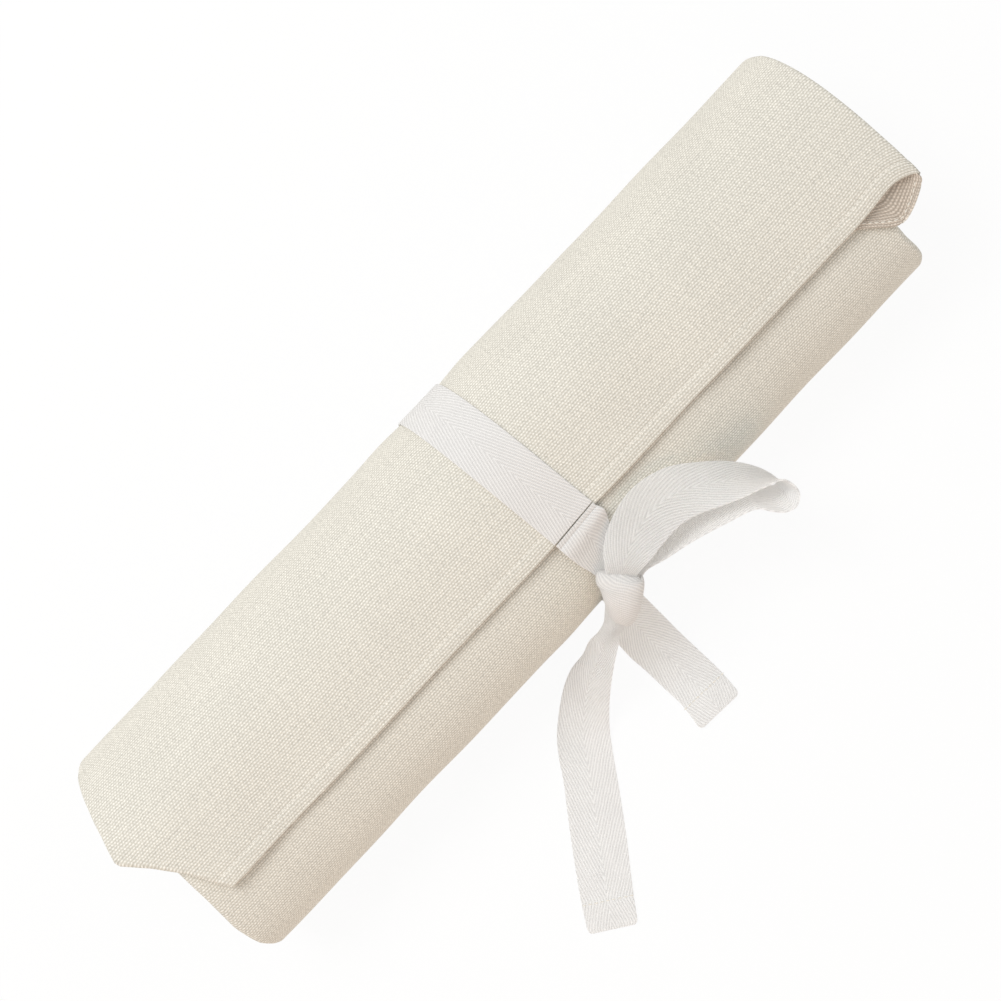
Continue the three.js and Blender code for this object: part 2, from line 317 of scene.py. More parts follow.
# %% The section of the roll
FLAP_EDGE, FIRST_POCKET, UNDERSIDE, INNER_EDGE = 65.6, 158, 270, 585
SEAMS = [FLAP_EDGE, 118, FIRST_POCKET, 202, 242, 298, 338, 382, 425, 480, 530, INNER_EDGE]
MIDDLES = [(a + b) / 2 for a, b in zip(SEAMS[:-1], SEAMS[1:])]
POCKET_FOLD = [  # angle, x
    [65.6, -199], [84, -207.8], [96, -216.4], [107, -226], [120, -222.3], [135, -219.5], [150, -217.6],
    [165, -216.1], [180, -215.7], [340, -214], [362, -213.2], [388, -214.5], [402, -214.6], [425, -212],
    [590, -211]]
COVER_FOLD = [[65.6, 234], [107, 232], [150, 230.3], [180, 228.5], [270, 222.5], [340, 217.3], [370, 217.2],
              [394, 214], [425, 213], [590, 211]]
TAPE_CENTRE = [[65.6, 19], [180, 10], [270, 4], [371, 6]]
OVAL_CENTRE, OVAL_HALF = (1, 43.5), (62.5, 45)
TIGHT_FROM, TIGHT_OVER, TIGHT_BY, TIGHT_POWER, TIGHT_SHARE = 335, 88, 8, 1.2, (1.3, 0.9)
TABLE_SOFT = 1


def along_table(table, at):
    return np.interp(at, [row[0] for row in table], [row[1] for row in table])


def unit(v):
    return v / np.maximum(np.linalg.norm(v, axis=-1, keepdims=True), 1e-12)


def way_along(points):
    """The distance walked at each point of a line."""
    return np.concatenate([[0], np.cumsum(np.linalg.norm(np.diff(points, axis=0), axis=1))])


def outer_face(angle):
    angle = np.asarray(angle, float)
    tighter = TIGHT_BY * (np.maximum(0, angle - TIGHT_FROM) / TIGHT_OVER) ** TIGHT_POWER
    a = np.radians(angle)
    p = OVAL_CENTRE[0] + (OVAL_HALF[0] - TIGHT_SHARE[0] * tighter) * np.cos(a)
    z = OVAL_CENTRE[1] + (OVAL_HALF[1] - TIGHT_SHARE[1] * tighter) * np.sin(a)
    return np.stack([p, (z + np.sqrt(z * z + TABLE_SOFT)) / 2], -1)


def inward(angle):
    along = unit(outer_face(np.asarray(angle) + 0.1) - outer_face(np.asarray(angle) - 0.1))
    return np.stack([-along[..., 1], along[..., 0]], -1)


def layer(angle, depth):
    return outer_face(angle) + inward(angle) * np.asarray(depth)[..., None]


def to_row(x, section):
    return np.stack([np.broadcast_to(x, section.shape[:-1]), -section[..., 0], section[..., 1]], -1)


DENSE = np.linspace(55, 600, 5451)  # every tenth of a degree
ARC = way_along(outer_face(DENSE))
ARC -= np.interp(UNDERSIDE, DENSE, ARC)


def arc_at(angle):
    return np.interp(angle, DENSE, ARC)


def angle_at(arc):
    return np.interp(arc, ARC, DENSE)


print("cloth round the roll", round(float(arc_at(INNER_EDGE) - arc_at(FLAP_EDGE))), "mm")

# %% [markdown]
# Inside, the same doubled cloth is folded back at both ends: at one end it makes the knife
# pockets, at the other a cover over the handles. Between two sewn lines a pocket stands open
# like a lens. Its depth is found by measuring the CAD's lens curve from the outer face.

# %% How deep the pockets stand open
LENS, SEWN_DEPTH, PLY_ALLOWANCE = 5.0, 2.9, 3
LENS_POINTS, FACE_POINTS, FACE_PAST = 25, 500, 3


def smooth(t):
    t = np.clip(t, 0, 1)
    return t * t * (3 - 2 * t)


def measured_lens():
    rows = []
    for first, last in zip(SEAMS[2:-1], SEAMS[3:]):
        a, b = layer(first, SEWN_DEPTH), layer(last, SEWN_DEPTH)
        chord = unit(b - a)
        into = np.array([-chord[1], chord[0]])
        face_angle = np.linspace(first - FACE_PAST, last + FACE_PAST, FACE_POINTS)
        face = outer_face(face_angle)
        f = np.linspace(0, 1, LENS_POINTS)[:, None]
        curve = a + (b - a) * f + into * LENS * 4 * f * (1 - f)
        gap = np.linalg.norm(face[:, None] - curve, axis=2)
        rows += zip(face_angle[gap.argmin(0)] + 1e-6 * f[:, 0], gap.min(0))
    return sorted(rows)


LENS_TABLE = measured_lens()


def pocket_depth(angle):
    return np.where(np.asarray(angle) < FIRST_POCKET, SEWN_DEPTH, along_table(LENS_TABLE, angle))


DEEPEST = max(row[1] for row in LENS_TABLE) + PLY_ALLOWANCE
print("deepest pocket", round(DEEPEST, 1), "mm")

# %% [markdown]
# Cloth is never quite smooth. A few long, low waves keep the roll from looking turned on a
# lathe, the tape draws it in a little, the flap edge settles on the layer below, and a valley
# runs along its topstitching. Where the roll lies on the tape, it gives way by the tape's thickness.

# %% Waves, cinch, flap edge and dent
TAPE_HALF, TAPE_MID, TAPE_THICK = 12.6, -0.62, 0.95
TOPSTITCH = 7.5
LONG_WAVE, ROUND_WAVE, SHORT_WAVE = 0.32, 0.22, 0.16
CINCH, SWELL, VALLEY, EDGE_PAD, PUCKER = 0.75, 0.35, 0.24, 0.14, 0.1
EDGE_DROP = [[-190, 2.2], [-160, 4.3], [95, 4.3], [122, 2.8], [172, 2.8], [206, 1.0]]  # x, drop
EDGE_REACH, EDGE_FLAT, FLAT_SHARE = 36.0, 12.0, 0.28


def bell(at, half):
    return np.exp(-(at / half) ** 2)


def tape_middle(angle):
    return along_table(TAPE_CENTRE, angle)


def cloth_give(angle, x):
    """How far the cloth lies inside the plain section, in millimetres."""
    angle, x = np.broadcast_arrays(np.asarray(angle, float), np.asarray(x, float))
    u = arc_at(angle)
    height = outer_face(angle)[..., 1]
    off_table = smooth((height - 2) / 14)
    # every length in these lines is in millimetres
    waves = (LONG_WAVE * np.sin(x / 17 + u / 41 + 0.6) * np.sin(x / 61 - u / 29)
             + ROUND_WAVE * np.sin(u / 9.5 + 1.2 * np.sin(x / 37))
             + SHORT_WAVE * np.sin(x / 9 - u / 23 + 2) * np.sin(x / 83 + 0.4))
    near_tape = x - tape_middle(angle)
    cinch = CINCH * bell(near_tape, 17) - SWELL * bell(np.abs(near_tape) - 26, 10)
    e = u - arc_at(FLAP_EDGE)
    valley = VALLEY * bell(e - TOPSTITCH, 1.1) - EDGE_PAD * bell(e - 3.6, 2.2)
    pucker = PUCKER * np.sin(x / 1.9 + 2 * np.sin(x / 23)) * bell(e - 6, 4.5)
    dent = np.maximum(0, TAPE_THICK + 0.25 - height) * smooth((TAPE_HALF + 4 - np.abs(near_tape)) / 3.4)
    return off_table * (waves + cinch) + valley + pucker + dent


def on_roll(angle, x, depth):
    """Points of the cloth, or of something at a depth in it, with the flap edge let down."""
    angle, x, depth = np.broadcast_arrays(*(np.asarray(value, float) for value in (angle, x, depth)))
    points = to_row(x, layer(angle, depth))
    e = arc_at(angle) - arc_at(FLAP_EDGE)
    lean = (1 + FLAT_SHARE) * bell(e, EDGE_REACH) - FLAT_SHARE * bell(e, EDGE_FLAT)
    points[..., 2] -= along_table(EDGE_DROP, x) * lean
    return points


print("flap edge lies at", np.round(on_roll(FLAP_EDGE, -100, 0), 1), "mm")

# %% [markdown]
# One grid of points carries the whole doubled cloth. Its rows run round the roll. Its columns
# follow the cloth's C-shaped way: from the pocket mouth to the fold, along the outside, round
# the other fold and back to the hem of the cover. Plain strips could be bent with modifiers, but a
# grid gives every ply its own thickness, its UV map in metres and smooth normals across cuts.

# %% The columns of the doubled cloth
PLY, PLY_OFFSET, SHELL_MID, SEWN_MID = 1.05, 0.58, 1.2, SEWN_DEPTH + 0.65
EDGE_STEPS = np.array([0, 0.03, 0.13, 0.3, 0.55])
POCKET_MOUTH, COVER_DEPTH, TURNED_HEM = 48.0, 108.0, 12.0
LENS_AT_FOLD, POCKET_OPENS, COVER_OPENS, FOLD_EASE = 0.35, 70, 50, 12
COVER_CROWDING, CLEARANCE = 1.25, 0.02
SPANS = (  # shares along each stretch of the C
    ("pocket", np.linspace(0.012, 1, 34)[:-1]), ("low_turn", np.linspace(0, 1, 11)),
    ("shell", np.linspace(0, 1, 118)[1:-1]), ("high_turn", np.linspace(0, 1, 13)),
    ("cover", np.linspace(0, 1, 40)[1:-1]))
COLUMNS = ([("pocket_mm", s) for s in EDGE_STEPS] + [(kind, s) for kind, shares in SPANS for s in shares]
           + [("cover_mm", s) for s in EDGE_STEPS[::-1]])
KINDS = [kind for kind, _ in COLUMNS]


def c_profile(angle, pocketed):
    """x and depth of the middle of the doubled cloth for every column, at one angle."""
    low, high = along_table(POCKET_FOLD, angle), along_table(COVER_FOLD, angle)
    cover_lens = float(pocket_depth(angle)) - SEWN_DEPTH
    lens = cover_lens if pocketed else 0.0
    mouth = POCKET_MOUTH if pocketed else low + TURNED_HEM
    hem = high - COVER_DEPTH
    reach = PLY_OFFSET + PLY / 2 + CLEARANCE

    def pocket(x):
        return SEWN_MID + lens * (LENS_AT_FOLD + (1 - LENS_AT_FOLD) * smooth((x - low) / POCKET_OPENS))

    def cover(x):
        return SEWN_MID + cover_lens * (LENS_AT_FOLD + (1 - LENS_AT_FOLD) * smooth((high - x) / COVER_OPENS))

    low_r, high_r = (pocket(low) - SHELL_MID) / 2, (cover(high) - SHELL_MID) / 2
    low_c, high_c = low + reach + low_r, high - reach - high_r
    points = []
    for kind, s in COLUMNS:
        cos, sin = math.cos(math.pi * s), math.sin(math.pi * s)
        if kind == "pocket_mm":
            points.append((mouth - s, pocket(mouth - s)))
        elif kind == "pocket":
            x = mouth + (low_c - mouth) * s
            points.append((x, pocket(low) + (pocket(x) - pocket(low)) * smooth((x - low_c) / FOLD_EASE)))
        elif kind == "low_turn":
            points.append((low_c - low_r * sin, SHELL_MID + low_r * (1 + cos)))
        elif kind == "shell":
            points.append((low_c + (high_c - low_c) * s, SHELL_MID))
        elif kind == "high_turn":
            points.append((high_c + high_r * sin, SHELL_MID + high_r * (1 - cos)))
        elif kind == "cover":
            x = high_c + (hem - high_c) * s ** COVER_CROWDING
            points.append((x, cover(high) + (cover(x) - cover(high)) * smooth((high_c - x) / FOLD_EASE)))
        else:
            points.append((hem + s, cover(hem + s)))
    return np.array(points)


print(len(COLUMNS), "columns")

# %% [markdown]
# At one end of the flap edge the cover hasn't been pressed flat: the fold gapes like a mouth, and
# the cover's side edge swings out over the layer below before it goes back under the flap. The
# edge's path is written as points along its own length, so the cloth isn't stretched, and the
# rows behind the edge follow it less and less.

# %% The gaping corner of the cover
MOUTH_PATH = np.array([  # length past the fold's start, x, p, z
    (-40, 194, 26.5, 84), (-22, 212, 24.6, 84.7), (-12, 221.6, 24.5, 84.8), (-5, 228.4, 26, 84.4),
    (-1.5, 231.8, 28, 83.7), (0, 233.2, 29.8, 82.9), (2.5, 232.2, 32.6, 81.7), (8, 227.4, 35.6, 79.9),
    (14, 222.3, 38.2, 77.7), (20, 217.3, 39.9, 75), (24, 214, 40.4, 73.5), (28.5, 210.4, 37.9, 74),
    (37, 204.4, 32.4, 76.6), (46.4, 197.6, 26.4, 78.9), (62, 183.5, 21.4, 79.5), (85, 161, 22.4, 79),
    (112, 134.5, 24, 78.7)])
MOUTH_REACH, MOUTH_EASE_IN, MOUTH_EASE_OUT = 34.0, 30, 26
LIP_CURL, LIP_WIDTH, LIP_FROM, LIP_TO, LIP_EASE, LIP_FORWARD = 3.2, 4.5, 1, 27, 6, 0.35
COVER_FROM, COVER_BEFORE_X, REST_SOFT = 2, 226, 0.4
BELOW = outer_face(np.linspace(380, 470, 400))  # the layer that the corner lies on
BELOW = BELOW[np.argsort(BELOW[:, 0])]


def evened(rows):
    """A line of points with its corners rounded."""
    for _ in range(3):
        rows[1:-1] = rows[1:-1] * 0.5 + (rows[:-2] + rows[2:]) * 0.25
    return rows


def open_mouth(grid, row_edge):
    """Moves the cover's corner of the flap rows."""
    s = way_along(grid[0])
    s = s - s[KINDS.index("high_turn")]
    length, targets = MOUTH_PATH[:, 0], MOUTH_PATH[:, 1:] * (1, -1, 1)
    wanted = evened(np.stack([np.interp(s, length, targets[:, i]) for i in range(3)], -1))
    pull = smooth((s - length[0]) / MOUTH_EASE_IN) * smooth((length[-1] - s) / MOUTH_EASE_OUT)
    move = (wanted - grid[0]) * pull[:, None]
    lip = LIP_CURL * smooth((s - LIP_FROM) / LIP_EASE) * smooth((LIP_TO - s) / LIP_EASE)
    for r, e in enumerate(row_edge):
        weight = 1 - smooth(e / MOUTH_REACH)
        if weight <= 0:
            continue
        moved = grid[r] + move * weight
        curl = lip * e / LIP_WIDTH * math.exp(1 - e / LIP_WIDTH)
        moved = moved + np.stack([0 * curl, -LIP_FORWARD * curl, -curl], -1)
        rest = np.interp(-moved[:, 1], BELOW[:, 0], BELOW[:, 1]) + PLY + PLY_OFFSET
        lift = (moved[:, 2] + rest + np.sqrt((moved[:, 2] - rest) ** 2 + REST_SOFT)) / 2
        on_cover = (s > COVER_FROM) & (moved[:, 0] < COVER_BEFORE_X)
        moved[:, 2] = np.where(on_cover, np.maximum(lift, moved[:, 2]), moved[:, 2])
        grid[r] = moved
    return grid


print("mouth path", len(MOUTH_PATH), "points")

# %% [markdown]
# The flap has no pockets, so it gets a grid of its own, with finer rows towards its edge. Raw edges
# have a few rows very close together, where the thickness is rounded off later.

# %% The grids of the flap and of the pocketed part
# cut in the middle of each panel, and where the pockets begin
PIECE_CUTS = [FLAP_EDGE, MIDDLES[1], FIRST_POCKET, *MIDDLES[2:-1], INNER_EDGE]
FINE_TO, FINE_ROW, ROW = 88, 1.0, 2.2


def cloth_grid(angles, pocketed):
    """Points of the middle of the doubled cloth, and their way along the columns from its middle."""
    grid = []
    for angle in angles:
        x, depth = c_profile(angle, pocketed).T
        at = np.full(len(x), angle)
        grid.append(on_roll(at, x, depth + cloth_give(at, x)))
    grid = np.array(grid)
    if not pocketed:
        grid = open_mouth(grid, arc_at(angles) - arc_at(FLAP_EDGE))
    run = np.array([way_along(row) for row in grid])
    middle = next(i for i, (kind, s) in enumerate(COLUMNS) if kind == "shell" and s >= 0.5)
    run += (grid[:, middle, 0] - run[:, middle])[:, None]
    return grid, run


def angle_rows(first, last, step):
    count = max(2, int(round((arc_at(last) - arc_at(first)) / step)) + 1)
    return angle_at(np.linspace(arc_at(first), arc_at(last), count))


flap_rows = np.concatenate([angle_at(arc_at(FLAP_EDGE) + EDGE_STEPS),
                            angle_rows(angle_at(arc_at(FLAP_EDGE) + 1), FINE_TO, FINE_ROW)]
                           + [angle_rows(a, b, ROW)[1:]
                              for a, b in ((FINE_TO, MIDDLES[1]), (MIDDLES[1], FIRST_POCKET))])
pocket_rows = np.concatenate([angle_at(arc_at(FIRST_POCKET) + EDGE_STEPS)]
                             + [angle_rows(a, b, ROW)[1:] for a, b in zip(PIECE_CUTS[2:-1], PIECE_CUTS[3:])])
inner_edge = angle_at(arc_at(INNER_EDGE) - EDGE_STEPS[::-1])
pocket_rows = np.concatenate([pocket_rows[pocket_rows < inner_edge[0] - 0.5], inner_edge])
flap_grid, flap_run = cloth_grid(flap_rows, False)
pocket_grid, pocket_run = cloth_grid(pocket_rows, True)
from_flap_edge = arc_at(flap_rows) - arc_at(FLAP_EDGE)
print("rows", len(flap_rows), "on the flap and", len(pocket_rows), "with pockets")

# %% [markdown]
# A ply is a closed slab: two faces a thickness apart and a rim. Raw edges are rounded by letting the
# thickness run out over the last half millimetre. Normals are taken from the whole grid and stored on
# the mesh, because the cloth is cut where it has to bend, and a cut would otherwise show as a line.

# %% Closed sheets from grids
FAR_FROM_EDGE, THINNEST = 9.0, 0.02
LINING_PROUD, PROUD_REACH = 0.8, 5


def face_normals(grid):
    """The direction square to a grid, from its rows and columns."""
    return unit(np.cross(np.gradient(grid, axis=0), np.gradient(grid, axis=1)))


def rounded(half, from_edge):
    """Half thickness near a rounded raw edge."""
    e = np.minimum(from_edge, half)
    return np.maximum(np.sqrt(np.maximum(half ** 2 - (half - e) ** 2, 0)), THINNEST)


def smooth_piece(name, mesh, material):
    mesh.materials.append(material)
    mesh.polygons.foreach_set("use_smooth", np.ones(len(mesh.polygons), bool))
    return put_in(name, mesh)


def slab(name, outer, inner, uv, outer_n, inner_n, material):
    """A closed mesh between two grids of points in millimetres."""
    rows, cols = outer.shape[:2]
    count = rows * cols
    points = np.concatenate([outer.reshape(-1, 3), inner.reshape(-1, 3)]) * MM
    index = np.arange(count).reshape(rows, cols)
    a, b, c, d = index[:-1, :-1], index[1:, :-1], index[1:, 1:], index[:-1, 1:]
    top = np.stack([a, b, c, d], -1).reshape(-1, 4)
    bottom = np.stack([a, d, c, b], -1).reshape(-1, 4) + count
    rim = [np.stack([line[:-1], line[1:], line[1:] + count, line[:-1] + count], -1)
           for line in (index[0], index[:, -1], index[-1, ::-1], index[::-1, 0])]
    faces = np.concatenate([top, bottom, *rim])
    p = points[faces]
    volume = np.einsum("ij,ij->i", p[:, 0], np.cross(p[:, 1], p[:, 2]) + np.cross(p[:, 2], p[:, 3])).sum()
    if volume < 0:
        faces = faces[:, ::-1]
        p = points[faces]
    mesh = bpy.data.meshes.new(name)
    mesh.from_pydata(points.tolist(), [], faces.tolist())
    flat = np.concatenate([uv.reshape(-1, 2), uv.reshape(-1, 2)]) * MM
    mesh.uv_layers.new(name="UVMap").data.foreach_set("uv", flat[faces.ravel()].astype(np.float32).ravel())
    piece = smooth_piece(name, mesh, material)
    normals = np.concatenate([outer_n.reshape(-1, 3), inner_n.reshape(-1, 3)])[faces]
    rim_from = len(top) + len(bottom)
    normals[rim_from:] = unit(np.cross(p[:, 2] - p[:, 0], p[:, 3] - p[:, 1]))[rim_from:, None]
    mesh.normals_split_custom_set(normals.reshape(-1, 3).tolist())
    mesh.validate()
    return piece


def ply_faces(grid, offset, from_row_edge):
    """Outer and inner face of one ply, with their normals."""
    from_col_edge = np.array([s if kind.endswith("_mm") else FAR_FROM_EDGE for kind, s in COLUMNS])
    from_row_edge = np.minimum(from_row_edge, FAR_FROM_EDGE)
    normal = face_normals(grid)
    middle = grid + normal * offset
    half = np.minimum(rounded(PLY / 2, from_row_edge)[:, None], rounded(PLY / 2, from_col_edge)[None])
    outer, inner = middle + normal * half[..., None], middle - normal * half[..., None]
    return outer, inner, face_normals(outer), -face_normals(inner)


ON_TOP, BEHIND_EDGE, FURTHER_IN = (30, 100), 5, 8
OUTWARD = 1 if face_normals(flap_grid)[ON_TOP][2] > 0 else -1
to_edge = unit(flap_grid[BEHIND_EDGE] - flap_grid[FURTHER_IN])
proud = to_edge * (LINING_PROUD * (1 - smooth(from_flap_edge / PROUD_REACH)))[:, None, None]
from_inner_edge = arc_at(INNER_EDGE) - arc_at(pocket_rows)
PLIES = {}
for kind, offset, shape in (("canvas", PLY_OFFSET, flap_grid), ("lining", -PLY_OFFSET, flap_grid + proud)):
    PLIES[kind] = (ply_faces(shape, OUTWARD * offset, from_flap_edge),
                   ply_faces(pocket_grid, OUTWARD * offset, from_inner_edge))
print("normals point", "out" if OUTWARD > 0 else "in")

# %% [markdown]
# The real cloth is one length. Each of its pieces here spans one fold between two panels, from the
# middle of one panel to the middle of the next.

# %% Canvas and lining pieces
PANELS = ["flap", "upper_left", "left", "lower_left", "base", "lower_right",
          "right", "upper_right", "inner_top", "inner_left", "inner_end"]


def bends_from(k):
    """The first of the two panels that a piece lies across. The panel after it is the other."""
    return 0 if k == 0 else 1 if k < 3 else k - 1


def bend_across(piece, a):
    """Bakes a piece's transform into its mesh. The middles of two panels, less what the deepest pocket leans
    over the cut, are worked out but not used.
    """
    start, end = outer_face(MIDDLES[a]), outer_face(MIDDLES[a + 1])
    chord = unit(end - start)
    start = start + chord * DEEPEST * max(0, inward(MIDDLES[a]) @ chord)
    end = end + chord * DEEPEST * min(0, inward(MIDDLES[a + 1]) @ chord)
    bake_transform(piece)


def cut_piece(name, ply, run, angles, first, last, material):
    """One piece of a ply between two cuts, and its flat size in metres."""
    keep = np.where((angles >= first - 1e-6) & (angles <= last + 1e-6))[0]
    rows = slice(keep[0], keep[-1] + 1)
    outer, inner, outer_n, inner_n = (part[rows] for part in ply)
    across = run[rows]
    uv = np.stack(np.broadcast_arrays(arc_at(angles[rows])[:, None], across), -1)
    flat = (float(np.mean(across[:, -1] - across[:, 0])) * MM, float(arc_at(last) - arc_at(first)) * MM)
    return slab(name, outer, inner, uv, outer_n, inner_n, material), flat


cloth = {}
for kind, material in (("canvas", CANVAS), ("lining", SHADED_LINING)):
    on_flap, with_pockets = PLIES[kind]
    for k, (first, last) in enumerate(zip(PIECE_CUTS[:-1], PIECE_CUTS[1:])):
        part = ((on_flap, flap_run, flap_rows) if last <= FIRST_POCKET
                else (with_pockets, pocket_run, pocket_rows))
        cloth[kind, k] = cut_piece(f"{kind}_cloth_{PANELS[k]}", *part, first, last, material)
print("first canvas piece is cut", [round(x, 3) for x in cloth["canvas", 0][1]], "m")

# %% [markdown]
# Every length of tape is built from pairs of edge points. A smooth curve through the pairs gives
# the rows, and the columns run straight across with a slight crown, as woven tape lies.

# %% Tape strips
TAPE_WIDTH = 2 * TAPE_HALF
FINE_EDGE = EDGE_STEPS[:4]
TAPE_ACROSS = np.concatenate([FINE_EDGE, np.linspace(0.5, TAPE_WIDTH - 0.5, 12),
                              TAPE_WIDTH - FINE_EDGE[::-1]]) / TAPE_WIDTH
FINE_STEPS, END_ROUND, LAST_STEPS, HEM_STEP = 600, 0.6, (0.35, 0.7, 1), 0.5


def through(points, count):
    """A smooth curve through points (Catmull-Rom by distance), at even steps."""
    gap = np.linalg.norm(np.diff(points.reshape(len(points), -1), axis=0), axis=1) ** 0.5
    t = np.concatenate([[0], np.cumsum(gap)])
    slope = np.gradient(points, t, axis=0)
    fine = np.linspace(0, t[-1], FINE_STEPS)
    k = np.clip(np.searchsorted(t, fine) - 1, 0, len(t) - 2)
    width = (t[k + 1] - t[k])[:, None, None]
    s = (fine - t[k])[:, None, None] / width
    curve = ((2 * s ** 3 - 3 * s ** 2 + 1) * points[k] + (s ** 3 - 2 * s ** 2 + s) * width * slope[k]
             + (-2 * s ** 3 + 3 * s ** 2) * points[k + 1] + (s ** 3 - s ** 2) * width * slope[k + 1])
    run = way_along(curve.mean(1))
    even = np.linspace(0, run[-1], count)
    columns = curve.reshape(len(fine), -1).T
    return np.stack([np.interp(even, run, column) for column in columns], -1).reshape(count, 2, 3)


def strip(name, edges, run_start=0.0, crown=0.0, hem=0.0, groove=None, corner=0.0,
          round_ends=(True, True), reverse=False, material=TAPE_LIT_COPY):
    """A closed strip of tape between two edge lines, in millimetres, with its length and width."""
    a, b = edges[:, 0], edges[:, 1]
    middle = (a + b) / 2
    run = way_along(middle)
    to_end = run[-1] - run
    width = np.linalg.norm(b - a, axis=1).mean()
    if corner:
        short = np.maximum(corner - to_end, 0)
        narrow = 1 - 2 * (corner - np.sqrt(corner ** 2 - short ** 2)) / width
        a, b = middle + (a - middle) * narrow[:, None], middle + (b - middle) * narrow[:, None]
    grid = a[:, None] + (b - a)[:, None] * TAPE_ACROSS[None, :, None]
    crown = np.broadcast_to(crown, run.shape)
    grid = grid + face_normals(grid) * (crown[:, None] * np.sin(math.pi * TAPE_ACROSS)[None])[..., None]
    if groove:
        at, deep, wide = groove
        grid = grid - face_normals(grid) * (deep * bell(run - at, wide))[:, None, None]
    normal = face_normals(grid)
    across = np.minimum(TAPE_ACROSS, 1 - TAPE_ACROSS) * TAPE_WIDTH
    ends = np.full(len(run), FAR_FROM_EDGE)
    for rounds, from_end in zip(round_ends, (run, to_end)):
        ends = np.minimum(ends, from_end) if rounds else ends
    doubled, folded = np.ones(len(run)), run
    if hem:
        doubled = doubled + smooth((hem - to_end) / HEM_STEP)
        folded = run - 2 * np.maximum(0, hem - to_end)
    half = np.minimum(rounded(TAPE_THICK / 2, across)[None] * doubled[:, None],
                      rounded(TAPE_THICK / 2, ends)[:, None] * 2)
    outer, inner = grid + normal * half[..., None], grid - normal * half[..., None]
    along = (folded + run_start) * (-1 if reverse else 1)
    uv = np.stack(np.broadcast_arrays(along[:, None], ((TAPE_ACROSS - 0.5) * TAPE_WIDTH)[None]), -1)
    made = slab(name, outer, inner, uv, face_normals(outer), -face_normals(inner), material)
    return made, float(run[-1]), float(width)


def end_steps(edges, at_start, at_end):
    """Adds the fine rows that round a tape's cut end."""
    rows = [edges]
    if at_start:
        way = unit(edges[1] - edges[0])
        rows.insert(0, np.array([edges[0] - way * (END_ROUND - s) for s in FINE_EDGE]))
    if at_end:
        way = edges[-1] - edges[-2]
        rows[-1] = edges[:-1]
        rows.append(np.array([edges[-2] + way * f for f in LAST_STEPS]))
        rows.append(np.array([edges[-1] + unit(way) * (END_ROUND - s) for s in FINE_EDGE[::-1]]))
    return np.concatenate(rows)


print(len(TAPE_ACROSS), "columns across the tape")

# %% [markdown]
# The tape goes once round the roll, a little askew. It is cut at the same middles as the cloth.
# The strand under the roll lies flush with the table.

# %% Tape round the roll
WRAP_START, WRAP_END, WRAP_ROW = float(angle_at(arc_at(FLAP_EDGE) + 2.1)), 368, 2.0
WRAP_CUTS = [WRAP_START, *MIDDLES[1:6], WRAP_END]
SLIT_SKEW, SKEW_REACH = 0.7, 12
DRAWN_FROM, DRAWN_OVER, DRAWN_ASIDE, DRAWN_IN = 325, 25, 4.5, 0.45
LIFT_FROM, LIFT_OVER, LIFT = 360, 8, 0.5
GIVE_HALF = 11


def wrap_edges(angles):
    """Edge points of the tape on the roll. Its end on the flap is cut a little askew."""
    drawn = smooth((angles - DRAWN_FROM) / DRAWN_OVER)
    centre = tape_middle(angles) + DRAWN_ASIDE * drawn
    way = arc_at(angles)
    skew = SLIT_SKEW * np.maximum(0, 1 - (way - arc_at(WRAP_START)) / SKEW_REACH)
    lift = LIFT * smooth((angles - LIFT_FROM) / LIFT_OVER)
    edges = []
    for side in (-1, 1):
        x = centre + side * TAPE_HALF * (1 - DRAWN_IN * drawn)
        at = angle_at(way + side * skew)
        depth = TAPE_MID + cloth_give(at, np.clip(x, centre - GIVE_HALF, centre + GIVE_HALF))
        edges.append(on_roll(at, x, depth - lift))
    return np.stack(edges, 1)


wraps = []
for k, (first, last) in enumerate(zip(WRAP_CUTS[:-1], WRAP_CUTS[1:])):
    ends = (k == 0, last == WRAP_END)
    edges = end_steps(wrap_edges(angle_rows(first, last, WRAP_ROW)), *ends)
    wraps.append(strip(f"tape_wrap_{PANELS[k]}", edges, float(arc_at(first)), round_ends=ends,
                       reverse=True, material=TAPE_SHADED_COPY))
print("tape round the roll", round(sum(w[1] for w in wraps)), "mm")

# %% [markdown]
# In front of the flap the tape drops to the knot, opens into one loop and leaves two tails that
# lie down on the table. The points were read off the photograph; heights follow from the roll's side.

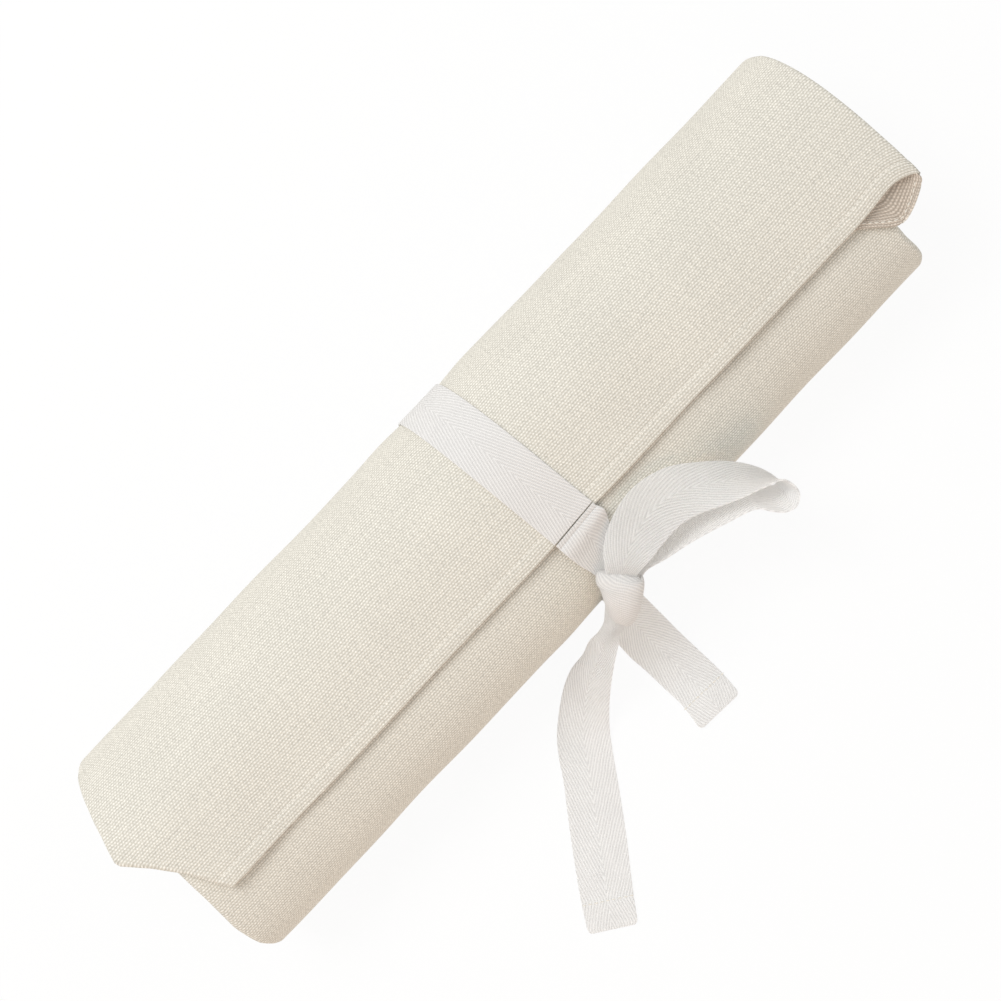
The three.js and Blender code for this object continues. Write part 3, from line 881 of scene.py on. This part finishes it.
# %% Front strand, loop and tails
FRONT = [  # x, y, z of one edge, then of the other
    (6.6, -33.4, 79.2, 32.8, -30.5, 80.2), (7.4, -40.9, 73.6, 31.4, -34.8, 75.8),
    (8.8, -47.3, 69.2, 28.2, -39.8, 72.6), (9, -52.1, 67, 23.2, -46.1, 70),
    (8.9, -55.8, 66, 18.3, -52.6, 68.6), (9.2, -59, 65, 16.5, -57, 68)]
LOOP = [
    (10.4, -54.2, 69.5, 20.3, -62.8, 69), (13.2, -50.6, 73.6, 23.3, -61.8, 73.4),
    (20.6, -42.4, 76.2, 31.5, -61.3, 76.8), (32.2, -36.4, 77, 40.1, -60.4, 77.4),
    (47.9, -33.8, 76.5, 51.5, -60.5, 77.5), (64, -38, 76, 60.9, -63.5, 78.5),
    (76.6, -47.3, 71, 69, -67.5, 81), (87.8, -58.6, 64, 78.3, -71.7, 82),
    (94.6, -69.9, 57.5, 87.5, -75.3, 80.5), (96.7, -78.6, 54, 96.1, -79.6, 78.5),
    (95.1, -80.8, 53.5, 97.7, -85.2, 76.5), (93.2, -80.1, 53.6, 96.5, -89.6, 75),
    (91.8, -78.7, 54.4, 92.2, -92.1, 74), (88.7, -75.4, 55, 86.9, -90.4, 74),
    (85.6, -72.1, 55, 82.9, -85.5, 75), (80.6, -67.5, 55, 79.3, -80.2, 75.5),
    (66.3, -63, 53.2, 65, -74.6, 74), (52.5, -61.4, 52.5, 50.3, -69.8, 72),
    (36.8, -61, 54.5, 35.5, -66.2, 70.5), (26, -61, 57, 25.5, -63.6, 69), (17.8, -65, 57, 18.6, -66.4, 66)]
LONG_TAIL = [
    (4.4, -60.6, 59, 11.6, -72.2, 59.5), (0.1, -64.3, 55.2, 7.2, -74.3, 56), (-3.5, -67.4, 51, 3, -75.4, 53),
    (-8.1, -68.9, 46.5, -1.5, -76.2, 49.5), (-14, -69.3, 40, -5.8, -79.3, 46),
    (-21.2, -72.5, 27, -16, -86.2, 38), (-31.6, -74.7, 15, -24.7, -93.7, 24),
    (-42.9, -80.5, 6, -31, -99.9, 12), (-58.4, -92.1, 1.2, -39.5, -109, 3),
    (-66.1, -100.7, 0.6, -46.3, -117.5, 1), (-71.8, -108.7, 0.6, -53.3, -126.9, 0.6),
    (-90.4, -131.6, 0.6, -70.2, -148.8, 0.6), (-107, -153.2, 1, -87.4, -169.6, 1),
    (-117.6, -168.5, 1, -97.3, -182.3, 1)]
SHORT_TAIL = [
    (17.6, -70, 50, -2.4, -74.1, 48), (17.6, -76.1, 40, -5.8, -75.6, 38), (17.6, -83.2, 27, -6.7, -82.6, 26),
    (17.6, -91.7, 15, -7.4, -91.3, 15), (17.4, -102.7, 6.5, -7.1, -101.7, 6.5),
    (17.5, -115.8, 1.8, -7.2, -114.1, 1.8), (17.5, -127.2, 1, -7.2, -126.1, 1),
    (16.1, -141.7, 1, -9.6, -140.3, 1)]
FRONT, LOOP, LONG_TAIL, SHORT_TAIL = (
    np.array(rows, float).reshape(-1, 2, 3) for rows in (FRONT, LOOP, LONG_TAIL, SHORT_TAIL))
SLIT, TUCK = 1.9, 1.2
FRONT = np.concatenate([wrap_edges(angle_at(arc_at(WRAP_START) - SLIT - np.array([0, TUCK]))), FRONT])
SEWN_GROOVE = (2.5, 0.55, 0.45)  # place, depth, width
LOOP_CROWN, TAIL_GATHER = 0.5, (3.2, 42)
HEM_LONG, HEM_SHORT, TAIL_CORNER = 14.5, 13.0, 2.5
TIES = {}


def tie(name, table, step, ends, gather=None, **shape):
    length = np.linalg.norm(np.diff(table.mean(1), axis=0), axis=1).sum()
    edges = end_steps(through(table, int(length / step)), *ends)
    if gather:
        height, reach = gather
        shape["crown"] = height * (1 - smooth(np.linspace(0, length, len(edges)) / reach))
    TIES[name] = strip(name, edges, round_ends=ends, **shape)
    print(name, round(TIES[name][1]), "mm long")


tie("tie_strand_front", FRONT, 0.5, (True, False), groove=SEWN_GROOVE, material=TAPE_SHADED_COPY)
tie("tie_bow_loop", LOOP, 1.0, (False, False), crown=LOOP_CROWN)
tie("tie_tail_long", LONG_TAIL, 1.5, (False, True), gather=TAIL_GATHER, hem=HEM_LONG, corner=TAIL_CORNER,
    reverse=True)
tie("tie_tail_short", SHORT_TAIL, 1.5, (False, True), hem=HEM_SHORT, corner=TAIL_CORNER)

# %% [markdown]
# The knot is one turn of the tape drawn tight: a band that wraps a bundle, wide at the top and
# narrowing into the long tail. Rings along its axis give the funnel, and shallow pleats run round it.

# %% Knot
KNOT_RINGS = np.array([  # centre, half width, half depth
    (16.7, -55.9, 71.2, 8.8, 2.2), (15.4, -57.2, 70.3, 10.4, 4.6), (14.1, -59.8, 68.6, 10.3, 6.4),
    (11.2, -63.4, 65.4, 9.2, 7.4), (8, -66.8, 61.5, 8.2, 7.2), (4.9, -69.1, 58, 7.2, 6.2),
    (3.1, -70, 56.2, 6.3, 5), (2.7, -70.2, 55.8, 4.9, 3.6)])
KNOT_ROWS, KNOT_SIDES, KNOT_SQUARE, KNOT_CAP = 44, 64, 0.82, 0.8
KNOT_SLANT, SLANT_AT_TOP = 0.4, 0.45
KNOT_SPINE, KNOT_GATHER = 30.0, 1.2
PLEAT, PLEAT_PITCH, PLEAT_TOP, PLEAT_END = 0.07, 2.3, 6, 12
ACROSS = np.array([0.687, -0.727, 0])


def knot_grid():
    """Points of the knot's rings with the first point again at the end, their UV, and the two caps."""
    t, at = np.linspace(0, len(KNOT_RINGS) - 1, KNOT_ROWS), np.arange(len(KNOT_RINGS))
    rows = evened(np.stack([np.interp(t, at, column) for column in KNOT_RINGS.T], -1))
    centre, half_wide, half_deep = rows[:, :3], rows[:, 3:4], rows[:, 4:5]
    way = unit(np.gradient(centre, axis=0))
    wide = unit(ACROSS - way * (way @ ACROSS)[:, None])
    deep = np.cross(way, wide)
    turn = np.linspace(0, 2 * math.pi, KNOT_SIDES + 1)
    cos, sin = np.cos(turn)[None], np.sin(turn)[None]
    run = way_along(centre)
    pleat = PLEAT * np.sin(run[:, None] / PLEAT_PITCH + 2.2 * sin + 0.6 * np.cos(2 * turn)[None])
    pleat = pleat * (smooth(run / PLEAT_TOP) * smooth((run[-1] - run) / PLEAT_END))[:, None]
    out_wide = (half_wide + pleat) * np.sign(cos) * np.abs(cos) ** KNOT_SQUARE
    out_deep = (half_deep + pleat) * np.sign(sin) * np.abs(sin) ** KNOT_SQUARE
    slant = SLANT_AT_TOP + (1 - SLANT_AT_TOP) * smooth(run / run[-1])
    slant = KNOT_SLANT * slant[:, None] * cos * half_wide
    grid = (centre[:, None] + out_wide[..., None] * wide[:, None] + out_deep[..., None] * deep[:, None]
            + slant[..., None] * way[:, None])
    front = 0.5 * math.pi if deep[len(deep) // 2, 2] > 0 else 1.5 * math.pi
    across = np.sin(front) * (front - turn)[None] * half_wide
    uv = np.stack(np.broadcast_arrays(across, run[:, None] + KNOT_SPINE), -1) * KNOT_GATHER * MM
    return grid, uv, [centre[0] - way[0] * KNOT_CAP, centre[-1] + way[-1] * KNOT_CAP]


def knot(name):
    grid, uv, caps = knot_grid()
    count, last = KNOT_SIDES, (KNOT_ROWS - 1) * KNOT_SIDES
    points = np.concatenate([grid[:, :-1].reshape(-1, 3), caps]) * MM
    ring = np.arange(KNOT_ROWS * count).reshape(KNOT_ROWS, count)
    beside = np.roll(ring, -1, axis=1)
    faces = np.stack([ring[:-1], beside[:-1], beside[1:], ring[1:]], -1).reshape(-1, 4).tolist()
    corners = list(np.stack([uv[:-1, :-1], uv[:-1, 1:], uv[1:, 1:], uv[1:, :-1]], 2).reshape(-1, 2))
    for c in range(count):
        n = (c + 1) % count
        faces += [(last + count, n, c), (last + count + 1, last + c, last + n)]
        corners += [uv[0, c], uv[0, c + 1], uv[0, c], uv[-1, c], uv[-1, c], uv[-1, c + 1]]
    mesh = bpy.data.meshes.new(name)
    mesh.from_pydata(points.tolist(), [], faces)
    mesh.uv_layers.new(name="UVMap").data.foreach_set("uv", np.array(corners, np.float32).ravel())
    return smooth_piece(name, mesh, TAPE_SHADED_COPY)


KNOT = knot("tie_knot_band")
print("knot", len(KNOT.data.vertices), "points")

# %% [markdown]
# Stitches repeat along a seam, so a Geometry Nodes tree sews them: the seam is a line of
# points, the tree walks it in even steps, sets a small flattened capsule on every step, turned
# along the seam, and makes the result real.

# %% A tree that sews
PITCH, STITCH, THREAD_WIDTH = 3.1, 2.5, 0.66
BEAD_SEGMENTS, BEAD_RINGS = 8, 6


def sewing_tree():
    tree = bpy.data.node_groups.new("sewing", "GeometryNodeTree")
    face = tree.interface
    face.new_socket("Seam", in_out="INPUT", socket_type="NodeSocketGeometry")
    for name, value in (("Pitch", PITCH), ("Stitch length", STITCH), ("Thread width", THREAD_WIDTH)):
        face.new_socket(name, in_out="INPUT", socket_type="NodeSocketFloat").default_value = value * MM
    face.new_socket("Thread", in_out="INPUT", socket_type="NodeSocketMaterial")
    face.new_socket("Stitches", in_out="OUTPUT", socket_type="NodeSocketGeometry")
    new, join = tree.nodes.new, tree.links.new
    start, end = new("NodeGroupInput"), new("NodeGroupOutput")
    line, even = new("GeometryNodeMeshToCurve"), new("GeometryNodeResampleCurve")
    even.mode = "LENGTH"
    bead, place = new("GeometryNodeMeshUVSphere"), new("GeometryNodeInstanceOnPoints")
    bead.inputs["Segments"].default_value, bead.inputs["Rings"].default_value = BEAD_SEGMENTS, BEAD_RINGS
    bead.inputs["Radius"].default_value = 0.5
    way, turn = new("GeometryNodeInputTangent"), new("FunctionNodeAlignRotationToVector")
    turn.axis = "X"
    size, real = new("ShaderNodeCombineXYZ"), new("GeometryNodeRealizeInstances")
    paint = new("GeometryNodeSetMaterial")
    chain = (start, line, even, place, real, paint, end)
    for one, other in zip(chain[:-1], chain[1:]):
        join(one.outputs[0], other.inputs[0])
    join(start.outputs["Pitch"], even.inputs["Length"])
    join(bead.outputs["Mesh"], place.inputs["Instance"])
    join(way.outputs[0], turn.inputs["Vector"])
    join(turn.outputs[0], place.inputs["Rotation"])
    for axis, name in enumerate(("Stitch length", "Thread width", "Thread width")):
        join(start.outputs[name], size.inputs[axis])
    join(size.outputs[0], place.inputs["Scale"])
    join(start.outputs["Thread"], paint.inputs["Material"])
    return tree


SEWING = sewing_tree()


def sew(name, points, pitch=PITCH, length=STITCH, width=THREAD_WIDTH):
    """Stitches along a line of points in millimetres, as a plain mesh."""
    mesh = bpy.data.meshes.new(name)
    mesh.from_pydata((points * MM).tolist(), [(i, i + 1) for i in range(len(points) - 1)], [])
    piece = put_in(name, mesh)
    sewing = piece.modifiers.new("sewing", "NODES")
    sewing.node_group = SEWING
    values = {"Pitch": pitch * MM, "Stitch length": length * MM, "Thread width": width * MM, "Thread": THREAD}
    for item in SEWING.interface.items_tree:
        if item.in_out == "INPUT" and item.name in values:
            sewing[item.identifier] = values[item.name]
    shown = piece.evaluated_get(bpy.context.evaluated_depsgraph_get())
    made = bpy.data.meshes.new_from_object(shown)
    piece.modifiers.clear()
    piece.data = made
    made.polygons.foreach_set("use_smooth", np.ones(len(made.polygons), bool))
    return piece


print("sewing tree has", len(SEWING.nodes), "nodes")

# %% [markdown]
# Sewn lines: the topstitching along the flap edge, a row down each pocket side, the hems of the
# pocket mouths and of the cover, and the hems of the two tape ends.

# %% Sew the seams
ON_FACE, PULLED_IN = 0.02, -0.15
COVER_SIDE, SEAM_ASIDE = 3.2, 3
TAPE_STITCH = (2.6, 2.1, 0.5)  # pitch, length, width
HEM_INSET, HEM_MARGIN, HEM_HEIGHT = 1, 0.03, 0.75 * TAPE_THICK


def columns_of(kind):
    first = KINDS.index(kind)
    return slice(first, first + KINDS.count(kind))


def face_line(ply, pick, lift=ON_FACE, outside=True):
    """Points on a ply's outer or inner face along one row or one column of the grid."""
    outer, inner, outer_n, inner_n = ply
    face, normal = (outer, outer_n) if outside == (OUTWARD > 0) else (inner, inner_n)
    return face[pick] + normal[pick] * lift


def nearest(values, wanted):
    return int(np.abs(values - wanted).argmin())


edge_row, side_row = nearest(from_flap_edge, TOPSTITCH), nearest(from_flap_edge, COVER_SIDE)
shell, cover = columns_of("shell"), columns_of("cover")
flap_canvas, flap_lining = PLIES["canvas"][0], PLIES["lining"][0]
on_flap = {"flap_edge": face_line(flap_canvas, (edge_row, shell), PULLED_IN),
           "flap_under": face_line(flap_lining, (edge_row, shell), outside=False),
           "cover_side": face_line(flap_lining, (side_row, cover), outside=False)}
stitches = [(sew(f"stitches_{name}", line), "flap", "canvas") for name, line in on_flap.items()]
pocketed = PLIES["canvas"][1]
for k in range(2, len(PANELS)):
    row = nearest(pocket_rows, SEAMS[k] if k > 2 else SEAMS[k] + SEAM_ASIDE)
    line = face_line(pocketed, (row, columns_of("pocket")))
    stitches.append((sew(f"stitches_pocket_{PANELS[k]}", line), k - 1, "canvas"))
for name, column in (("mouth", columns_of("pocket").start + 1), ("cover", cover.stop - 2)):
    for k in range(2, len(PANELS)):
        rows = np.where((pocket_rows >= PIECE_CUTS[k]) & (pocket_rows <= PIECE_CUTS[k + 1] - 0.5))[0]
        line = face_line(pocketed, (slice(rows[0], rows[-1] + 1), column))
        stitches.append((sew(f"stitches_{name}_{PANELS[k]}", line), bends_from(k), "canvas"))
for tail, table, hem in (("long", LONG_TAIL, HEM_LONG), ("short", SHORT_TAIL, HEM_SHORT)):
    a, b = table[-1]
    inset = unit(table[-2].mean(0) - (a + b) / 2) * (hem - HEM_INSET)
    margin = (b - a) * HEM_MARGIN
    line = np.linspace(a + inset + margin, b + inset - margin, 9) + [0, 0, HEM_HEIGHT]
    stitches.append((sew(f"stitches_tie_tail_{tail}", line, *TAPE_STITCH), f"{tail}_tail", "tape"))
print(len(stitches), "rows of stitches")

# %% [markdown]
# Last, the CAD solids that the cloth and tape replace are hidden. The front strand, loop, tails and
# knot, and the stitches on the flap and the tails, are tied to their CAD bodies; the other pieces only
# have their transforms baked in.

# %% Tie the pieces to the frame
for (kind, k), (piece, flat) in cloth.items():
    bend_across(piece, bends_from(k))
    panel = PANELS[k]
    stood = [f"{kind}_{panel}"]
    if kind == "canvas":
        stood += [f"cover_{panel}"] + ([f"slot_{panel}"] if k >= 2 else [])
    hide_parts(*stood)
for k, (piece, run, width) in enumerate(wraps):
    bend_across(piece, k)
    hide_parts(f"tape_{PANELS[k]}", *(["tape_right"] if PANELS[k] == "lower_right" else []))
for name, node, body in (("tie_strand_front", "tie_front", "bow"), ("tie_bow_loop", "tie_loop", "loop"),
                         ("tie_tail_long", "long_tail", "long_tail"),
                         ("tie_tail_short", "short_tail", "short_tail")):
    piece, run, width = TIES[name]
    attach(piece, body)
    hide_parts(node)
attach(KNOT, "bow")
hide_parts("tie_knot")
for piece, where, finish in stitches:
    if isinstance(where, str):
        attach(piece, where)
    else:
        bend_across(piece, where)

# %% [markdown]
# Cloth may stand a little proud of its CAD solids, but the object mustn't grow.
